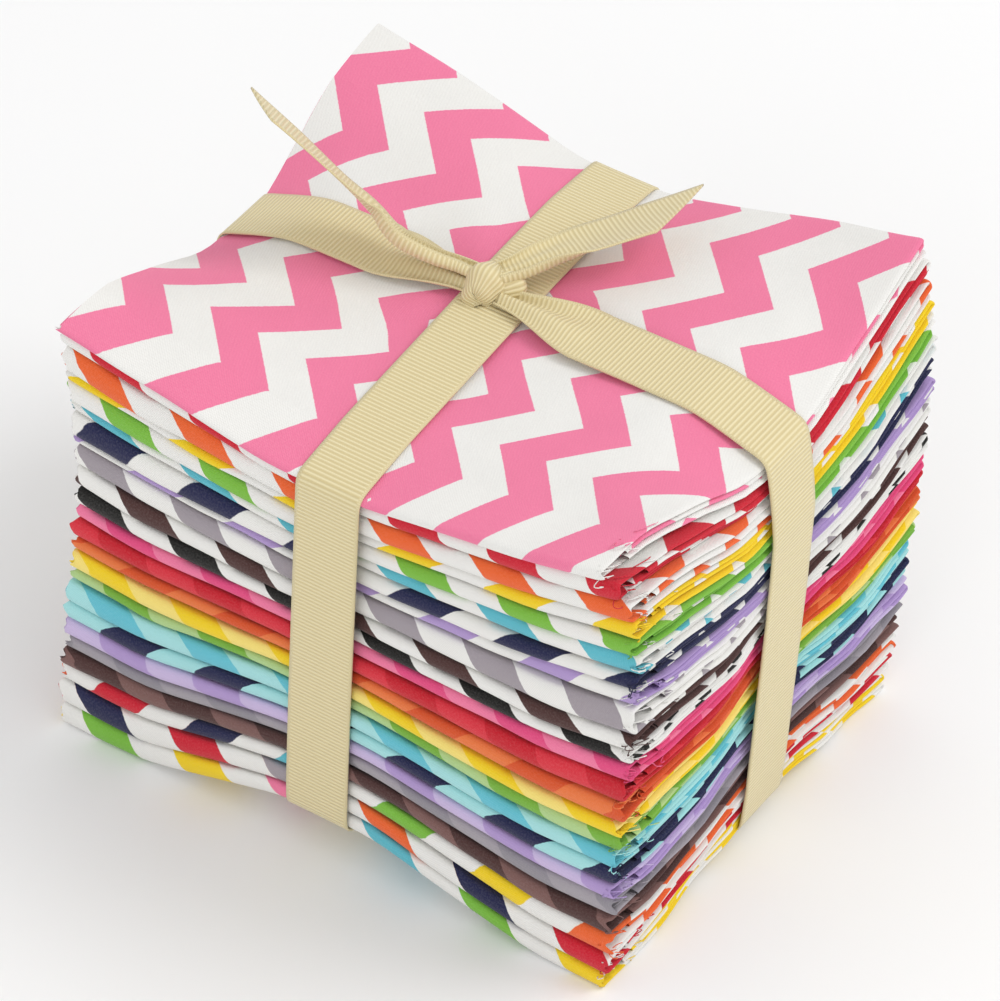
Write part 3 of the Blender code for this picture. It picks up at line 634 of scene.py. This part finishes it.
def ribbon_piece(name, middles, sides, outs, widths, curls, slants, look, pleats=1.5, closed=False):
    """A ribbon with two faces and edges. Where it is narrower than it was woven, it lies in pleats."""
    t = ACROSS[None, :, None]
    angle = np.maximum(curls, 0.02)[:, None, None] * t
    radius = (widths / np.maximum(curls, 0.02))[:, None, None]
    sheet = middles[:, None, :] + sides[:, None, :] * radius * np.sin(angle)
    sheet = sheet + outs[:, None, :] * radius * (1 - np.cos(angle))
    squeeze = np.sqrt(np.maximum(RIBBON_WIDTH / widths - 1.0, 0.0)) * widths / (math.pi * pleats)
    buckle = squeeze[:, None, None] * 0.62 * (0.6 + np.cos(2 * math.pi * pleats * t + 0.6))
    normal = outs[:, None, :] * np.cos(angle) - sides[:, None, :] * np.sin(angle)
    sheet = sheet + normal * buckle
    along = np.gradient(middles, axis=0)
    along = unit(along)
    sheet = sheet + along[:, None, :] * slants[:, None, None] * t
    across = np.gradient(sheet, axis=1)
    length = np.gradient(sheet, axis=0)
    face = unit(np.cross(length, across))
    flip = np.sign(np.sum(face * normal, axis=-1, keepdims=True))
    face = face * np.where(flip == 0, 1, flip)
    steps = np.linalg.norm(np.diff(middles, axis=0), axis=1)
    v = np.concatenate([[0.0], np.cumsum(steps)])
    woven = np.broadcast_to(ACROSS[None, :] * RIBBON_WIDTH, sheet.shape[:2])
    v = np.broadcast_to(v[:, None] + slants[:, None] * ACROSS[None, :], sheet.shape[:2])
    top, low = sheet + face * RIBBON_THICK / 2, sheet - face * RIBBON_THICK / 2
    points = np.concatenate([top, low[:, ::-1], top[:, :1]], axis=1)
    u = np.concatenate([woven, woven[:, ::-1], woven[:, :1]], axis=1)
    v = np.concatenate([v, v[:, ::-1], v[:, :1]], axis=1)
    uv = np.stack([u, v], -1)
    made = grid_object(name, points, uv, look, tube=True)
    return made, float(steps.sum())


def convex(points):
    """The outline that a taut ribbon follows round the points, counter-clockwise."""
    points = np.unique(np.round(points, 2), axis=0)
    ordered = points.tolist()

    def chain(run):
        kept = []
        for point in run:
            while len(kept) > 1:
                (ax, ay), (bx, by) = kept[-2], kept[-1]
                if (bx - ax) * (point[1] - ay) - (by - ay) * (point[0] - ax) > 0:
                    break
                kept.pop()
            kept.append(point)
        return kept[:-1]

    return np.array(chain(ordered) + chain(ordered[::-1]))


def taut(points, distance, step=1.2):
    """The taut outline, moved outwards, in even steps and with its corners a little rounded."""
    ring = convex(points)
    before, after = np.roll(ring, 1, axis=0), np.roll(ring, -1, axis=0)
    into, out = unit(ring - before), unit(after - ring)
    side = unit(np.stack([into[:, 1] + out[:, 1], -into[:, 0] - out[:, 0]], -1))
    lean = np.maximum(np.sum(side * np.stack([out[:, 1], -out[:, 0]], -1), -1, keepdims=True), 0.6)
    ring = ring + side * distance / lean
    closed = np.concatenate([ring, ring[:1]])
    far = np.concatenate([[0.0], np.cumsum(np.linalg.norm(np.diff(closed, axis=0), axis=1))])
    count = int(far[-1] / step)
    places = np.arange(count) * far[-1] / count
    ring = np.stack([np.interp(places, far, closed[:, k]) for k in (0, 1)], -1)
    for _ in range(2):
        ring = (np.roll(ring, 1, axis=0) + 2 * ring + np.roll(ring, -1, axis=0)) / 4
    return ring


def long_x(y, z):
    top = mix(LONG_TOP_FRONT_X, LONG_TOP_BACK_X, (y - FRONT_Y) / (BACK_Y - FRONT_Y))
    return mix(LONG_LOW_X, top, z / TOP_ROWS[0][2])


def cross_y(x, z):
    right = mix(CROSS_LOW_RIGHT_Y, CROSS_TOP_RIGHT_Y, z / TOP_ROWS[0][2])
    return mix(CROSS_LEFT_Y, right, (x - LEFT_X) / (RIGHT_X - LEFT_X))


def band_frame(ring, place, side):
    ahead = unit(np.roll(ring, -1, axis=0) - np.roll(ring, 1, axis=0))
    out_2d = np.stack([ahead[:, 1], -ahead[:, 0]], -1)
    middles = place(ring)
    outs = unit(place(ring + out_2d) - middles)
    return middles, np.broadcast_to(np.array(side, float), middles.shape), outs


def make_ribbon(look):
    cloth = np.concatenate(CLOTH)
    reach = RIBBON_WIDTH / 2 + 0.4
    offset = BAND_CLEARANCE + RIBBON_THICK / 2
    near = cloth[np.abs(cloth[:, 0] - long_x(cloth[:, 1], cloth[:, 2])) < reach]
    ring = taut(near[:, 1:], offset)
    place = lambda flat: np.stack([long_x(flat[:, 0], flat[:, 1]), flat[:, 0], flat[:, 1]], -1)
    lowest = int(np.argmin(np.abs(ring[:, 0]) + 1000.0 * (ring[:, 1] > 40)))
    ring = np.roll(ring, -lowest, axis=0)
    middles, sides, outs = band_frame(ring, place, (1, 0, 0))
    middles, sides, outs = (np.concatenate([a, a[:1]]) for a in (middles, sides, outs))
    flat = np.full(len(middles), RIBBON_WIDTH)
    none = np.zeros(len(middles))
    long_band, length = ribbon_piece("ribbon_long", middles, sides, outs, flat, none + 0.02, none, look)
    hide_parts("ribbon_band_long")
    upper = ring[ring[:, 1] > 60]
    rest = float(np.interp(KNOT_Y, *upper[np.argsort(upper[:, 0])].T)) + RIBBON_THICK / 2
    low = ring[ring[:, 1] < 40]
    under = float(np.interp(KNOT_Y, *low[np.argsort(low[:, 0])].T)) - RIBBON_THICK / 2

    near = cloth[np.abs(cloth[:, 1] - cross_y(cloth[:, 0], cloth[:, 2])) < reach][:, (0, 2)]
    half = RIBBON_WIDTH / 2
    top_x = long_x(KNOT_Y, rest)
    bridge = ((top_x - half, rest), (top_x + half, rest), (LONG_LOW_X - half, under), (LONG_LOW_X + half, under))
    ring = taut(np.concatenate([near, bridge]), offset)
    place = lambda flat: np.stack([flat[:, 0], cross_y(flat[:, 0], flat[:, 1]), flat[:, 1]], -1)
    nearest = int(np.argmin(np.abs(ring[:, 0] - KNOT_X) + 1000.0 * (ring[:, 1] < 60)))
    ring = np.roll(ring, -nearest, axis=0)
    middles, sides, outs = band_frame(ring, place, (0, 1, 0))
    far = np.where(middles[:, 2] > 60, np.abs(middles[:, 0] - KNOT_X), 100.0)
    keep = far > 2.5
    middles, sides, outs, far = (a[keep] for a in (middles, sides, outs, far))
    open_up = smooth((far - 3.0) / 24.0)
    widths = mix(5.5, RIBBON_WIDTH, open_up)
    none = np.zeros(len(middles))
    cross_band, length = ribbon_piece(
        "ribbon_cross", middles, sides, outs, widths, none + 0.02 + 0.9 * (1 - open_up), none, look
    )
    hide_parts("ribbon_band_cross")

    centre = np.array((KNOT_X, KNOT_Y, rest + 4.0))
    for name, rows, node, root, slant in (
        ("ribbon_end_left", LEFT_TAIL, "ribbon_tail_left", 8.0, 8.0),
        ("ribbon_end_right", RIGHT_TAIL, "ribbon_tail_right", 8.0, 16.0),
    ):
        rows = curve_through(rows, 1.0)
        middles = centre + rows[:, :3]
        along = unit(np.gradient(middles, axis=0))
        sides = rows[:, 3:6] - along * np.sum(rows[:, 3:6] * along, -1, keepdims=True)
        sides = unit(sides)
        outs = np.cross(along, sides)
        outs = outs * np.where(outs[:, 2:] < 0, -1.0, 1.0)
        share = np.linspace(0, 1, len(rows))
        widths = mix(root, RIBBON_WIDTH, smooth(share / 0.5))
        piece, length = ribbon_piece(name, middles, sides, outs, widths, rows[:, 6], -slant * share**3, look)
        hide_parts(node)
    for name, rows, widest, curl in (("ribbon_wrap", WRAP, 15.2, 3.1), ("ribbon_strand", STRAND, 14.5, 4.6)):
        rows = np.concatenate([KNOT_SCALE * (rows[:, :3] @ VIEW) + KNOT_SHIFT, rows[:, 3:] @ VIEW], axis=1)
        rows = curve_through(rows, 0.6)
        middles = centre + rows[:, :3]
        along = unit(np.gradient(middles, axis=0))
        sides = unit(rows[:, 3:6] - along * np.sum(rows[:, 3:6] * along, -1, keepdims=True))
        outs = np.cross(along, sides)
        inward = np.sum(outs * rows[:, :3], -1, keepdims=True)
        outs = outs * np.where(inward < 0, 1.0, -1.0)
        share = np.linspace(-1, 1, len(rows))
        widths = mix(widest, 0.9 * widest, share**2)
        piece, length = ribbon_piece(
            name, middles, sides, outs, widths, 0 * share + curl, 0 * share, look, pleats=2.5
        )
        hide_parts("ribbon_knot")


# ---- build
for number, quarter in enumerate(QUARTERS, 1):
    fat_quarter(number, quarter, cotton(number, quarter))

ribbon_look = grosgrain()
make_ribbon(ribbon_look)

# ---- floor, light and camera
floor_mesh = bpy.data.meshes.new("floor")
floor_mesh.from_pydata([(-4, -4, 0), (4, -4, 0), (4, 4, 0), (-4, 4, 0)], [], [(0, 1, 2, 3)])
floor = bpy.data.objects.new("floor", floor_mesh)
bpy.context.scene.collection.objects.link(floor)
pale = Nodes("pale floor")
pale.put(pale.shader.inputs["Base Color"], (0.92, 0.92, 0.92))
pale.put(pale.shader.inputs["Roughness"], 0.9)
floor_mesh.materials.append(pale.material)

world = bpy.data.worlds.new("studio")
world.use_nodes = True
world.node_tree.nodes["Background"].inputs[0].default_value = (1.0, 1.0, 1.0, 1.0)
world.node_tree.nodes["Background"].inputs[1].default_value = 0.80
bpy.context.scene.world = world


def softbox(name, place, aim, size, power, colour=(1.0, 1.0, 1.0)):
    light = bpy.data.lights.new(name, "AREA")
    light.shape = "SQUARE"
    light.size = size
    light.energy = power
    light.color = colour
    lamp = bpy.data.objects.new(name, light)
    lamp.location = place
    lamp.rotation_euler = (Vector(aim) - Vector(place)).to_track_quat("-Z", "Y").to_euler()
    bpy.context.scene.collection.objects.link(lamp)


softbox("key", (0.9, 0.5, 1.3), (0, 0, 0.06), 0.7, 9.0)
softbox("fill", (0.2, -1.4, 0.8), (0, 0, 0.06), 1.0, 4.0)

AZIMUTH, ELEVATION, DISTANCE = math.radians(34.39), math.radians(42.38), 1.438
target = Vector((-SHIFT[0] * METRES, -SHIFT[1] * METRES, 0.0642))
back = Vector((
    math.sin(AZIMUTH) * math.cos(ELEVATION), -math.cos(AZIMUTH) * math.cos(ELEVATION), math.sin(ELEVATION)
))
camera_data = bpy.data.cameras.new("camera")
camera_data.lens = 237.8
camera_data.sensor_width = 36.0
camera_data.shift_x = 0.0232
camera_data.shift_y = -0.0071
camera_data.clip_end = 20.0
camera = bpy.data.objects.new("camera", camera_data)
camera.location = target + back * DISTANCE
camera.rotation_euler = (-back).to_track_quat("-Z", "Y").to_euler()
bpy.context.scene.collection.objects.link(camera)
bpy.context.scene.camera = camera
bpy.context.scene.view_settings.view_transform = "Standard"
